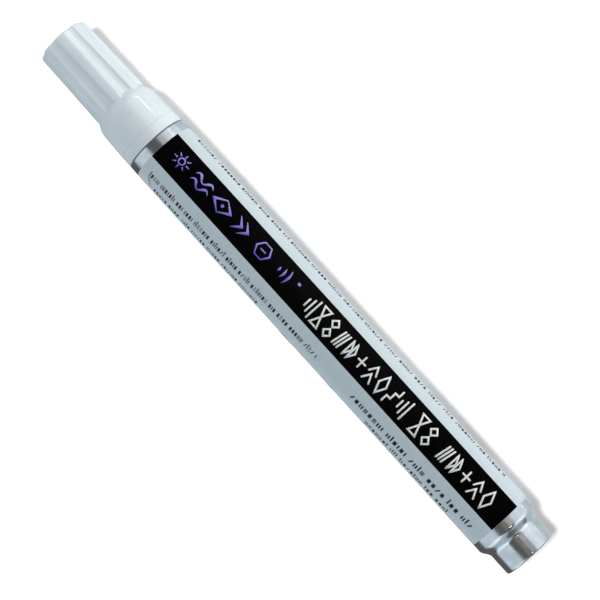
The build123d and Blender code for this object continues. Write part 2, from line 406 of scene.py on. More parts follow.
NIB_FIBRE = BondedFibre("bonded_polyester_fibre", Hue.FIBRE, Hue.FIBRE_DAMP, 0.85, specular=0.25)
SEAL_RUBBER = MouldedRubber("moulded_nitrile_rubber", Hue.NITRILE, Hue.NITRILE_BLOOM, 0.6, ior=1.52)
SPRING_STEEL = DrawnSteel("drawn_stainless_wire", Hue.STAINLESS, Hue.BALL_STEEL, 0.28)
BALL_STEEL = DrawnSteel(
    "ground_steel_ball", Hue.BALL_STEEL, Hue.STAINLESS, 0.12, relief=((even(0.06), 0.0003),)
)


# --- Pen space and mesh makers ---


@dataclass(frozen=True)
class PenSpace:
    """Turns stations, radii and angles on the pen into points of the frame."""

    cap_end_x: float
    axis_z: float

    def point(self, station: float, radius: float, angle: float) -> Vector:
        """Finds a point of the pen in the frame.

        Args:
            station: The station in millimetres.
            radius: The radius in millimetres.
            angle: The angle in radians, from the top towards +Y.

        Returns:
            The point, in metres.
        """
        across, up = radius * MM * math.sin(angle), radius * MM * math.cos(angle)
        return Vector((self.cap_end_x + station * MM, across, self.axis_z + up))

    def station(self, x: float) -> float:
        """Returns the station, in millimetres, of a frame coordinate in metres."""
        return (x - self.cap_end_x) / MM

    def span(self, node: str) -> tuple[float, float]:
        """Returns the first and last station of a CAD node."""
        low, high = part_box(node)
        return self.station(low.x), self.station(high.x)

    def radius(self, node: str) -> float:
        """Returns the largest radius of a turned CAD node, in millimetres."""
        low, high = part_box(node)
        return (high.y - low.y) / 2 / MM


def find_pen_space() -> PenSpace:
    """Reads the cap's end and the height of the pen's axis from the frame."""
    low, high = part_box("barrel")
    return PenSpace(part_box("cap_shell")[0].x, (low.z + high.z) / 2)


SPACE = find_pen_space()
Relief = Callable[[float, float, float], float]


class Corner(NamedTuple):
    """A corner of a turned outline, which a fillet may round."""

    station: float
    radius: float
    fillet: float = 0.0
    relief: Relief | None = None


def arc_points(
    centre: Point2, radius: float, start: float, end: float, count: int
) -> list[Point2]:
    """Returns evenly spaced points of an arc.

    Args:
        centre: The arc's centre.
        radius: Its radius.
        start: Start angle in radians, from the first axis towards the second.
        end: End angle in radians.
        count: How many points there are, both ends included.

    Returns:
        The points.
    """
    step = (end - start) / (count - 1)
    angles = [start + step * i for i in range(count)]
    return [(centre[0] + radius * math.cos(a), centre[1] + radius * math.sin(a)) for a in angles]


def bend(start: Vector, knee: Vector, end: Vector, t: float) -> Vector:
    """Returns the point at t, from 0 to 1, of the curve from start to end that leans to the knee."""
    return start * (1 - t) ** 2 + knee * 2 * t * (1 - t) + end * t**2


def rounded(corners: Sequence[Corner], steps: int = 5) -> list[Corner]:
    """Rounds each corner of an open outline with its fillet.

    Args:
        corners: The outline's corners in order.
        steps: Segments in each rounded corner.

    Returns:
        Corners with no fillets left, which follow the rounded outline.
    """
    result = [corners[0]]
    for before, corner, after in zip(corners, corners[1:], corners[2:]):
        here = Vector((corner.station, corner.radius))
        back = Vector((before.station, before.radius)) - here
        ahead = Vector((after.station, after.radius)) - here
        turn = math.pi - back.angle(ahead)
        if corner.fillet == 0 or turn < 0.02:
            result.append(corner._replace(fillet=0.0))
            continue
        reach = min(corner.fillet * math.tan(turn / 2), 0.49 * back.length, 0.49 * ahead.length)
        first, last = here + back.normalized() * reach, here + ahead.normalized() * reach
        for i in range(steps + 1):
            spot = bend(first, here, last, i / steps)
            result.append(Corner(spot.x, spot.y, 0.0, corner.relief))
    result.append(corners[-1])
    return result


def linked_object(name: str, data: bpy.types.ID) -> bpy.types.Object:
    """Adds an object to the scene.

    Args:
        name: Its name.
        data: Its mesh, lamp or camera.

    Returns:
        The new object.
    """
    thing = bpy.data.objects.new(name, data)
    bpy.context.scene.collection.objects.link(thing)
    return thing


def join_rings(mesh: bmesh.types.BMesh, rings: Sequence[Ring], looped: bool = False) -> None:
    """Skins a row of rings of equal length, and closes its ends unless it is a loop.

    Args:
        mesh: The bmesh that holds the rings.
        rings: The rings in order, each with its corners in the same order.
        looped: Whether the last ring joins the first.
    """
    following = [*rings[1:], rings[0]] if looped else rings[1:]
    for ring, after in zip(rings, following):
        for k in range(len(ring)):
            n = (k + 1) % len(ring)
            mesh.faces.new((ring[k], ring[n], after[n], after[k]))
    if not looped:
        mesh.faces.new(rings[0])
        mesh.faces.new(rings[-1])


def finished_object(name: str, mesh: bmesh.types.BMesh) -> bpy.types.Object:
    """Turns a bmesh into a smooth-shaded object of the scene.

    Args:
        name: The object's name.
        mesh: The finished bmesh, which is freed.

    Returns:
        The new object.
    """
    bmesh.ops.recalc_face_normals(mesh, faces=mesh.faces)
    data = bpy.data.meshes.new(name)
    mesh.to_mesh(data)
    mesh.free()
    data.polygons.foreach_set("use_smooth", [True] * len(data.polygons))
    return linked_object(name, data)


def keep_flats_flat(thing: bpy.types.Object, sharp_degrees: float = 50) -> bpy.types.Object:
    """Weights an object's normals by face size, so that flats beside small fillets stay flat.

    Args:
        thing: The object.
        sharp_degrees: Edges that turn more than this are shaded sharp.

    Returns:
        The same object.
    """
    thing.data.set_sharp_from_angle(angle=math.radians(sharp_degrees))
    modifier = thing.modifiers.new("even_normals", "WEIGHTED_NORMAL")
    modifier.keep_sharp = True
    return thing


def turn(
    name: str, outline: Sequence[Corner], segments: int = 192, closed: bool = True
) -> bpy.types.Object:
    """Turns an outline about the pen's axis.

    Args:
        name: The object's name.
        outline: Corners in order. Where an end lies on the axis, its ring is one point.
        segments: Divisions round the axis.
        closed: Whether the last corner joins the first, as on a ring that the axis misses.

    Returns:
        The turned object.
    """
    mesh = bmesh.new()
    angles = [math.tau * i / segments for i in range(segments)]
    rings: list[Ring] = []
    for corner in rounded([*outline, outline[0]] if closed else outline):
        if corner.radius == 0:
            rings.append([mesh.verts.new(SPACE.point(corner.station, 0, 0))])
            continue
        relief = corner.relief or (lambda station, radius, angle: radius)
        radii = [relief(corner.station, corner.radius, a) for a in angles]
        rings.append([mesh.verts.new(SPACE.point(corner.station, r, a)) for r, a in zip(radii, angles)])
    for ring, after in zip(rings, rings[1:]):
        for i in range(segments):
            j = (i + 1) % segments
            places = ((ring, i), (ring, j), (after, j), (after, i))
            # A ring of one point gives the same corner twice, and the face is then a triangle.
            mesh.faces.new(dict.fromkeys(row[k % len(row)] for row, k in places))
    if closed:
        bmesh.ops.remove_doubles(mesh, verts=mesh.verts, dist=1e-9)
    return keep_flats_flat(finished_object(name, mesh))


def swept_wire(
    name: str, path: Sequence[Vector], radius_mm: float, sides: int = 14
) -> bpy.types.Object:
    """Sweeps a round wire along a path.

    Args:
        name: The object's name.
        path: Points of the wire's centre line, in metres.
        radius_mm: The wire's radius in millimetres.
        sides: Divisions round the wire.

    Returns:
        The wire, closed at both ends.
    """
    mesh = bmesh.new()
    rings: list[Ring] = []
    for i, spot in enumerate(path):
        ahead, back = path[min(i + 1, len(path) - 1)], path[max(i - 1, 0)]
        along = (ahead - back).normalized()
        outward = Vector((0, spot.y, spot.z - SPACE.axis_z)).normalized()
        side = along.cross(outward).normalized()
        outward = side.cross(along)
        ring = []
        for k in range(sides):
            a = math.tau * k / sides
            ring.append(mesh.verts.new(spot + (outward * math.cos(a) + side * math.sin(a)) * radius_mm * MM))
        rings.append(ring)
    join_rings(mesh, rings)
    return finished_object(name, mesh)


def smooth_min(a: float, b: float, blend: float) -> float:
    """Returns the smaller of two lengths, with a rounded change-over blend wide."""
    overlap = max(blend - abs(a - b), 0) / blend
    return min(a, b) - overlap**2 * blend / 4


def smooth_max(a: float, b: float, blend: float) -> float:
    """Returns the larger of two lengths, with a rounded change-over blend wide."""
    return -smooth_min(-a, -b, blend)


def dress(
    thing: bpy.types.Object, finish: Finish, body: str, stands_for: Sequence[str] = ()
) -> bpy.types.Object:
    """Gives a piece its finish and ties it to its body.

    Args:
        thing: The piece.
        finish: Its finish.
        body: The CAD body that it moves with.
        stands_for: CAD nodes that the piece replaces.

    Returns:
        The same piece.
    """
    thing.data.materials.clear()
    thing.data.materials.append(finish.material())
    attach(thing, body)
    if stands_for:
        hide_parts(*stands_for)
    log.info("%s rides on %s, finish %s", thing.name, body, finish.name)
    return thing


def refinish(node: str, finish: Finish) -> None:
    """Gives a CAD node, whose shape is kept, its finish.

    Args:
        node: The CAD node.
        finish: Its finish.
    """
    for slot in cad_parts[node].material_slots:
        slot.material = finish.material()
    log.info("%s keeps its CAD shape, finish %s", node, finish.name)


# --- Cap ---


@dataclass
class Cap:
    """The pull-off cap: a fluted shell and the soft liner inside it."""

    end_r: float = 5.85
    end_round: float = 0.6
    grip_r: float = 6.10
    grip_end: float = 18.3
    flare_start: float = 16.4
    flare_r: float = 4.85
    skirt_start: float = 21.2
    skirt_start_r: float = 7.0
    band: float = 26.65
    band_front_r: float = 7.17
    groove: float = 0.1
    flutes: int = 8
    flute_degrees: float = 24.3
    flute_r: float = 3.0
    flute_depth: float = 0.62
    ridge_blend: float = 0.1
    flare_blend: float = 0.3
    gate_r: float = 0.7
    gate_depth: float = 0.25
    end_wall: float = 1.2
    pocket_r: float = 4.0
    liner_r: float = 4.3
    liner_wall: float = 0.7
    liner_bore_r: float = 2.7
    liner_seal_r: float = 3.35
    liner_mouth_r: float = 3.85
    bore_start: float = 20.8
    bore_r: float = 6.05

    def flute_radius(self, angle: float) -> float:
        """Finds the surface of the nearest flute.

        Args:
            angle: The angle about the axis.

        Returns:
            Its radius, or one clear of the grip where the angle lies between flutes.
        """
        pitch = math.tau / self.flutes
        away = (angle - math.radians(self.flute_degrees) + pitch / 2) % pitch - pitch / 2
        reach = self.grip_r - self.flute_depth + self.flute_r
        across = reach * math.sin(away)
        if abs(across) >= self.flute_r:
            return self.grip_r + 1.0
        return reach * math.cos(away) - math.sqrt(self.flute_r**2 - across**2)

    def grip_relief(self, station: float, radius: float, angle: float) -> float:
        """Sinks the flutes into the grip and its rounded end, and lets them run out on the flare.

        Args:
            station: The station on the pen.
            radius: The plain outline's radius there.
            angle: The angle about the axis.

        Returns:
            The radius of the surface.
        """
        full = max(radius, self.end_r)
        fluted = smooth_min(full, self.flute_radius(angle), self.ridge_blend) - (full - radius)
        if station < self.flare_start:
            return fluted
        rise = self.flare_r**2 - (self.skirt_start - station) ** 2
        flare = self.skirt_start_r - self.flare_r + math.sqrt(rise)
        return smooth_max(fluted, flare, self.flare_blend)

    def grip_corners(self) -> list[Corner]:
        """Draws the rounded end, the fluted grip and the flare.

        Returns:
            Their outline, from the end of the cap to the skirt.
        """
        corners = []
        centre = (self.end_round, self.end_r - self.end_round)
        for station, radius in arc_points(centre, self.end_round, math.pi, math.pi / 2, 12):
            corners.append(Corner(station, radius, 0.0, self.grip_relief))
        slope = (self.grip_r - self.end_r) / (self.grip_end - self.end_round)
        plain_rows, flare_rows = 8, 30
        for i in range(1, plain_rows + 1):
            station = self.end_round + (self.flare_start - self.end_round) * i / plain_rows
            radius = self.end_r + slope * (station - self.end_round)
            corners.append(Corner(station, radius, 0.0, self.grip_relief))
        for i in range(1, flare_rows):
            station = self.flare_start + (self.skirt_start - self.flare_start) * i / flare_rows
            radius = self.end_r + slope * (min(station, self.grip_end) - self.end_round)
            corners.append(Corner(station, radius, 0.0, self.grip_relief))
        return corners

    def build_shell(self) -> bpy.types.Object:
        """Builds the outer cap, from the gate mark on its end round to the pocket inside.

        Returns:
            The cap shell.
        """
        front, mouth = SPACE.span("cap_shell")
        mouth_r = SPACE.radius("cap_shell")
        liner_front, liner_rear = SPACE.span("cap_liner")
        outline = [
            Corner(front + self.gate_depth, 0),
            Corner(front + self.gate_depth, self.gate_r * 0.7, 0.1),
            Corner(front, self.gate_r, 0.08),
            Corner(front, 2.2),
            Corner(front, 3.6),
            Corner(front, self.end_r - self.flute_depth - self.end_round - 0.1),
            *self.grip_corners(),
            Corner(self.skirt_start, self.skirt_start_r),
            Corner(self.skirt_start + 1.4, self.skirt_start_r + 0.05),
            Corner(self.band - self.groove, self.band_front_r, 0.05),
            Corner(self.band, self.band_front_r - self.groove, 0.03),
            Corner(self.band + self.groove, self.band_front_r, 0.05),
            Corner(mouth, mouth_r, 0.22),
            Corner(mouth, self.bore_r, 0.2),
            Corner(self.bore_start, self.bore_r, 0.3),
            Corner(liner_rear + 0.6, self.liner_r, 0.1),
            Corner(liner_front, self.liner_r),
            Corner(liner_front, self.pocket_r, 0.1),
            Corner(front + self.end_wall, self.pocket_r, 0.4),
            Corner(front + self.end_wall, 0),
        ]
        return turn("cap_shell_fluted", outline, segments=480, closed=False)

    def build_liner(self) -> bpy.types.Object:
        """Builds the soft inner cap with its sealing lip.

        Returns:
            The liner.
        """
        front, rear = SPACE.span("cap_liner")
        outline = [
            Corner(front, 0),
            Corner(front, self.liner_r, 0.2),
            Corner(rear, self.liner_r, 0.12),
            Corner(rear, self.liner_mouth_r, 0.12),
            Corner(rear - 1.0, self.liner_seal_r, 0.3),
            Corner(rear - 4.0, self.liner_seal_r, 0.4),
            Corner(rear - 5.0, self.liner_bore_r, 0.4),
            Corner(front + self.liner_wall, self.liner_bore_r, 0.5),
            Corner(front + self.liner_wall, 0),
        ]
        return turn("cap_liner_soft", outline, closed=False)

    def make(self) -> None:
        """Builds and dresses the cap's pieces."""
        dress(self.build_shell(), CAP_PLASTIC, "cap", ["cap_shell"])
        dress(self.build_liner(), LINER_PLASTIC, "cap", ["cap_liner"])


# --- Front section and nib ---


@dataclass
class FrontEnd:
    """The moulded front section with its ink channels, and the fibre nib in its bore."""

    bore_r: float = 2.25
    channel_r: float = 0.45
    channels: int = 4
    channel_blend: float = 0.08
    tip_r: float = 3.3
    tip_rear: float = 16.4
    cone_front_r: float = 3.7
    cone_rear_r: float = 5.35
    seat_front: float = 21.4
    seat_r: float = 5.85
    bead: float = 25.4
    bead_r: float = 6.0
    chamber_front: float = 26.8
    chamber_r: float = 4.6
    seal_depth: float = 0.9
    nib_round: float = 0.9
    nib_slope_degrees: float = 55
    nib_flank: float = 3.8
    flank_rows: int = 12
    nib_ripple: float = 0.009

    def bore_relief(self, station: float, radius: float, angle: float) -> float:
        """Cuts the ink channels into the nib's bore.

        Args:
            station: The station on the pen.
            radius: The plain outline's radius there.
            angle: The angle about the axis.

        Returns:
            The radius of the surface.
        """
        pitch = math.tau / self.channels
        away = (angle + math.pi / self.channels) % pitch - pitch / 2
        offset = self.bore_r * math.sin(away)
        if abs(offset) >= self.channel_r:
            return radius
        channel = self.bore_r * math.cos(away) + math.sqrt(self.channel_r**2 - offset**2)
        return smooth_max(radius, channel, self.channel_blend)

    def build_section(self) -> bpy.types.Object:
        """Builds the nose, cap seat and plug.

        Returns:
            The front section.
        """
        front, rear = SPACE.span("front_section")
        seal_front, seal_rear = SPACE.span("tube_seal")
        plug_r = SPACE.radius("front_section")
        tube_front = SPACE.span("barrel")[0]
        outline = [
            Corner(front, self.bore_r + 0.1, 0.0, self.bore_relief),
            Corner(front, self.tip_r, 0.4),
            Corner(self.tip_rear, self.tip_r, 0.5),
            Corner(self.tip_rear + 0.5, self.cone_front_r, 0.3),
            Corner(self.seat_front - 0.6, self.cone_rear_r, 0.5),
            Corner(self.seat_front, self.seat_r, 0.4),
            Corner(self.bead - 0.8, self.seat_r, 0.4),
            Corner(self.bead - 0.3, self.bead_r, 0.4),
            Corner(self.bead + 0.3, self.bead_r, 0.4),
            Corner(self.bead + 0.8, self.seat_r, 0.4),
            Corner(tube_front, self.seat_r, 0.15),
            Corner(tube_front, plug_r),
            Corner(seal_front, plug_r, 0.1),
            Corner(seal_front, plug_r - self.seal_depth, 0.1),
            Corner(seal_rear, plug_r - self.seal_depth, 0.1),
            Corner(seal_rear, plug_r, 0.1),
            Corner(rear - 0.6, plug_r, 0.3),
            Corner(rear, plug_r - 0.6, 0.2),
            Corner(rear, self.chamber_r, 0.15),
            Corner(self.chamber_front, self.chamber_r),
            Corner(self.chamber_front, self.bore_r + 0.001, 0.0, self.bore_relief),
            Corner(front + 0.1, self.bore_r, 0.0, self.bore_relief),
        ]
        return turn("front_section_moulded", outline, segments=240)

    def nib_relief(self, station: float, radius: float, angle: float) -> float:
        """Roughens the ground fibre a little, as a fine ripple round the nib."""
        ripple = math.sin(23 * angle + station) * math.sin(7 * angle - 2.1 * station)
        return radius * (1 + self.nib_ripple * ripple)

    def build_nib(self) -> bpy.types.Object:
        """Builds the bullet nib with its rounded tip.

        Returns:
            The nib.
        """
        front, rear = SPACE.span("nib")
        nib_r = SPACE.radius("nib")
        slope = math.radians(self.nib_slope_degrees)
        centre = (front + self.nib_round, 0.0)
        tip = arc_points(centre, self.nib_round, math.pi, math.pi / 2 + slope, 8)[1:]
        start, end = Vector(tip[-1]), Vector((front + self.nib_flank, nib_r))
        knee = Vector((start.x + (end.y - start.y) / math.tan(slope) * 0.8, nib_r))
        outline = [Corner(front, 0)]
        outline += [Corner(station, radius, 0.0, self.nib_relief) for station, radius in tip]
        for i in range(1, self.flank_rows + 1):
            spot = bend(start, knee, end, i / self.flank_rows)
            outline.append(Corner(spot.x, spot.y, 0.0, self.nib_relief))
        outline += [Corner(rear, nib_r, 0.3), Corner(rear, 0)]
        return turn("nib_bullet", outline, segments=160, closed=False)

    def make(self) -> None:
        """Builds and dresses the front section and the nib."""
        dress(self.build_section(), COLLAR_PLASTIC, "barrel", ["front_section"])
        dress(self.build_nib(), NIB_FIBRE, "plunger", ["nib"])
        refinish("tube_seal", SEAL_RUBBER)


# --- Valve ---


@dataclass
class Valve:
    """The sprung valve: its spring is rebuilt with closed ends, the rest keeps its CAD shape."""

    wire_r: float = 0.2
    coil_r: float = 1.9
    active_turns: float = 3.6
    closed_turns: float = 0.9
    closed_pitch: float = 2.1  # in wire radii, so that the turns all but touch
    steps_per_turn: int = 40
    press_mm: float = 2.0

    def coil_path(self) -> list[Vector]:
        """Winds the wire's centre line, whose end turns lie close together.

        Returns:
            Its points, in metres.
        """
        low, high = SPACE.span("valve_spring")
        front, rear = low + self.wire_r, high - self.wire_r
        end_rise = self.closed_turns * self.wire_r * self.closed_pitch
        total = self.active_turns + 2 * self.closed_turns
        count = round(total * self.steps_per_turn)
        points = []
        for i in range(count + 1):
            turns = total * i / count
            if turns < self.closed_turns:
                rise = turns / self.closed_turns * end_rise
            elif turns > total - self.closed_turns:
                rise = rear - front - (total - turns) / self.closed_turns * end_rise
            else:
                share = (turns - self.closed_turns) / self.active_turns
                rise = end_rise + share * (rear - front - 2 * end_rise)
            points.append(SPACE.point(front + rise, self.coil_r, math.tau * turns))
        return points

    def make(self) -> None:
        """Builds the spring, ties it to the barrel and finishes the valve's other pieces."""
        spring = swept_wire("valve_spring_coil", self.coil_path(), self.wire_r)
        dress(spring, SPRING_STEEL, "barrel", ["valve_spring"])
        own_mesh(spring)
        for node in ("valve_body", "valve_stem", "valve_cage"):
            refinish(node, VALVE_PLASTIC)
        for node in ("valve_gasket", "stem_washer"):
            refinish(node, SEAL_RUBBER)


# --- Barrel ---


@dataclass
class Barrel:
    """The aluminium tube with its shoulder, neck and dished base, and the mixing ball in it."""

    wall: float = 0.45
    shoulder_front: float = 134.2
    neck_front: float = 136.75
    neck_r: float = 6.0
    rim_round: float = 0.5
    dish_r: float = 4.4
    dish_depth: float = 0.4
    base_t: float = 0.6
    shoulder_rows: int = 18
    inside_lead: float = 0.15  # how much earlier the shoulder turns inside

    def shoulder(self, start_r: float, end_r: float, shift: float = 0.0) -> list[Corner]:
        """Returns the S-shaped shoulder as half a cosine wave.

        Args:
            start_r: Radius where the shoulder starts.
            end_r: Radius where it meets the neck.
            shift: How much earlier the shoulder lies.

        Returns:
            Corners from the barrel to the neck.
        """
        corners = []
        for i in range(self.shoulder_rows + 1):
            t = i / self.shoulder_rows
            station = self.shoulder_front + (self.neck_front - self.shoulder_front) * t - shift
            radius = end_r + (start_r - end_r) * (1 + math.cos(math.pi * t)) / 2
            corners.append(Corner(station, radius))
        return corners

    def build_tube(self) -> bpy.types.Object:
        """Builds the tube, from its rolled front edge to the dish in its base and back inside.

        Returns:
            The tube.
        """
        front, rear = SPACE.span("barrel")
        outer_r = SPACE.radius("barrel")
        inner_r = outer_r - self.wall
        neck_inner_r = self.neck_r - self.wall
        outline = [
            Corner(rear - self.dish_depth - self.base_t, 0),
            Corner(rear - self.dish_depth - self.base_t, neck_inner_r, 0.3),
            *reversed(self.shoulder(inner_r, neck_inner_r, shift=self.inside_lead)),
            Corner(front, inner_r, 0.1),
            Corner(front, outer_r, 0.25),
            Corner(front + 1.2, outer_r),
            *self.shoulder(outer_r, self.neck_r),
            Corner(rear, self.neck_r, self.rim_round),
            Corner(rear, self.dish_r + 0.4, 0.3),
            Corner(rear - self.dish_depth, self.dish_r, 0.3),
            Corner(rear - self.dish_depth, 0),
        ]
        return turn("barrel_tube", outline, segments=256, closed=False)

    def make(self) -> None:
        """Builds and dresses the tube and finishes the mixing ball."""
        dress(self.build_tube(), BARE_METAL, "barrel", ["barrel"])
        refinish("mixing_ball", BALL_STEEL)


# --- Label and print ---


@dataclass
class Printer:
    """Collects strokes and plates of ink on the label and makes one thin solid of each set.

    Places on the label are (station, across): across is the arc in millimetres from the top of
    the pen towards +Y, measured on the film.
    """

    base_mm: float = 0.0  # how far above the film the set's underside lies
    ink_mm: float = 0.01  # thickness; real ink is nearer 0.003, too thin to stand clear
    step_mm: float = 0.3
    end_reach: float = 0.35  # how far a line's narrowed end reaches, in widths
    end_share: float = 0.55  # how wide it is at its tip, in widths

    def __post_init__(self) -> None:
        """Starts an empty mesh on the film's surface."""
        self.mesh = bmesh.new()
        self.film_r = SPACE.radius("label")

    def lifted(self, spot: Point2, height: float) -> Vector:
        """Returns the frame's point at a place on the label and a height above the film."""
        return SPACE.point(spot[0], self.film_r + height, spot[1] / self.film_r)

    def divided(self, path: Sequence[Point2], closed: bool) -> list[Vector]:
        """Divides a path so that it can follow the film's curve.

        Args:
            path: Corners of the path.
            closed: Whether the last corner joins the first.

        Returns:
            Points no further apart than step_mm.
        """
        ends = [*path, path[0]] if closed else path
        points = []
        for a, b in zip(map(Vector, ends), map(Vector, ends[1:])):
            parts = max(1, math.ceil((b - a).length / self.step_mm))
            points += [a.lerp(b, i / parts) for i in range(parts)]
        return points if closed else [*points, Vector(ends[-1])]

    def stroke(self, path: Sequence[Point2], widths: Sequence[float], closed: bool = False) -> None:
        """Adds a line of ink.

        Args:
            path: Corners of the line.
            widths: Its width at the start and at the end, or more values spread evenly.
            closed: Whether the line is a loop.
        """
        points = self.divided(path, closed)
        last = len(points) - 1
        rings = []
        for i, spot in enumerate(points):
            ahead = points[(i + 1) % len(points)] if closed else points[min(i + 1, last)]
            back = points[i - 1] if closed or i else spot
            into, out = (spot - back).normalized(), (ahead - spot).normalized()
            along = (into + out).normalized()
            normal = Vector((-along.y, along.x))
            straight = into.length == 0 or out.length == 0
            stretch = 1 if straight else 1 / max(0.5, along.dot(out))
            place = i / max(last, 1) * (len(widths) - 1)
            low = min(int(place), len(widths) - 2)
            width = widths[low] + (widths[low + 1] - widths[low]) * (place - low)
            half = normal * width / 2 * stretch
            foot, head = (
                [self.mesh.verts.new(self.lifted(side, height)) for side in (spot + half, spot - half)]
                for height in (self.base_mm, self.base_mm + self.ink_mm)
            )
            rings.append([*foot, *reversed(head)])
        join_rings(self.mesh, rings, looped=closed)

    def round_ended(self, path: Sequence[Point2], width: float) -> None:
        """Adds a line of even width whose ends narrow, as a rounded pen's do.

        Args:
            path: Corners of the line.
            width: Its width.
        """
        first, second = Vector(path[0]), Vector(path[1])
        before, last = Vector(path[-2]), Vector(path[-1])
        reach = width * self.end_reach
        tail, head = (first - second).normalized() * reach, (last - before).normalized() * reach
        self.stroke(path, (width, width))
        self.stroke([tuple(first + tail), path[0]], (width * self.end_share, width))
        self.stroke([path[-1], tuple(last + head)], (width, width * self.end_share))

    def plate(self, low: Point2, high: Point2) -> None:
        """Adds a rectangle of ink between two corners."""
        middle = (low[0] + high[0]) / 2
        self.stroke([(middle, low[1]), (middle, high[1])], (high[0] - low[0],) * 2)

    def disc(self, centre: Point2, radius: float) -> None:
        """Adds a round spot of ink, as a band whose width follows the circle.

        Args:
            centre: The spot's centre.
            radius: Its radius.
        """
        count = 16
        ends = arc_points(centre, radius, -math.pi / 2, math.pi / 2, count + 1)
        widths = [max(2 * (x - centre[0]), 0.04) for x, _ in ends]
        for (_, low), (_, high), start, end in zip(ends, ends[1:], widths, widths[1:]):
            self.stroke([(centre[0], low), (centre[0], high)], (start, end))

    def finish_set(self, name: str, ink: Finish) -> None:
        """Turns the set into one dressed piece on the barrel's label."""
        dress(finished_object(name, self.mesh), ink, "barrel")


class Sign(Enum):
    """Plain geometric signs, drawn in a cell one unit wide and one unit high."""

    BARS = "bars"
    DIAMOND = "diamond"
    PLUS = "plus"
    SLASHES = "slashes"
    HOURGLASS = "hourglass"
    STEPS = "steps"
    CHEVRONS = "chevrons"
    WEDGES = "wedges"
    GEMS = "gems"


def sign_lines(sign: Sign) -> list[tuple[list[Point2], bool]]:
    """Returns a sign's lines in its unit cell.

    Args:
        sign: The sign to draw.

    Returns:
        Each line's corners, and whether it is a loop.
    """
    drawings = {
        Sign.BARS: [([(x, 0.3 - 0.3 * x), (x, 0.7 + 0.3 * x)], False) for x in (0.0, 0.5, 1.0)],
        Sign.DIAMOND: [([(0.5, 0), (1, 0.5), (0.5, 1), (0, 0.5)], True)],
        Sign.PLUS: [([(0.5, 0.2), (0.5, 0.8)], False), ([(0, 0.5), (1, 0.5)], False)],
        Sign.SLASHES: [([(x, 0.1), (x + 0.3, 0.9)], False) for x in (0.0, 0.35, 0.7)],
        Sign.HOURGLASS: [([(0, 0), (1, 0), (0, 1), (1, 1)], True)],
        Sign.STEPS: [([(0, 0), (0, 0.33), (0.5, 0.33), (0.5, 0.67), (1, 0.67), (1, 1)], False)],
        Sign.CHEVRONS: [([(0, y), (0.5, y + 0.4), (1, y)], False) for y in (0.05, 0.5)],
        Sign.WEDGES: [([(x, 0.1), (x + 0.45, 0.5), (x, 0.9)], True) for x in (0.0, 0.55)],
        Sign.GEMS: [
            ([(0.5, y), (0.95, y + 0.22), (0.5, y + 0.44), (0.05, y + 0.22)], True) for y in (0.0, 0.56)
        ],
    }
    return drawings[sign]


class Mark(Enum):
    """Marks of greeked print, which stand for letters and are none."""

    TICK = "tick"
    TALL = "tall tick"
    PAIR = "two ticks"
    BLOCK = "solid block"
    STACK = "three dashes"
    SLANT = "slanted dash"


class FineLine(NamedTuple):
    """One line of greeked print on the label, in millimetres."""

    start: float  # first station
    end: float  # last station
    foot: float  # where its marks stand, across the label
    height: float  # of a tall mark
    weight: float  # width of a stroke


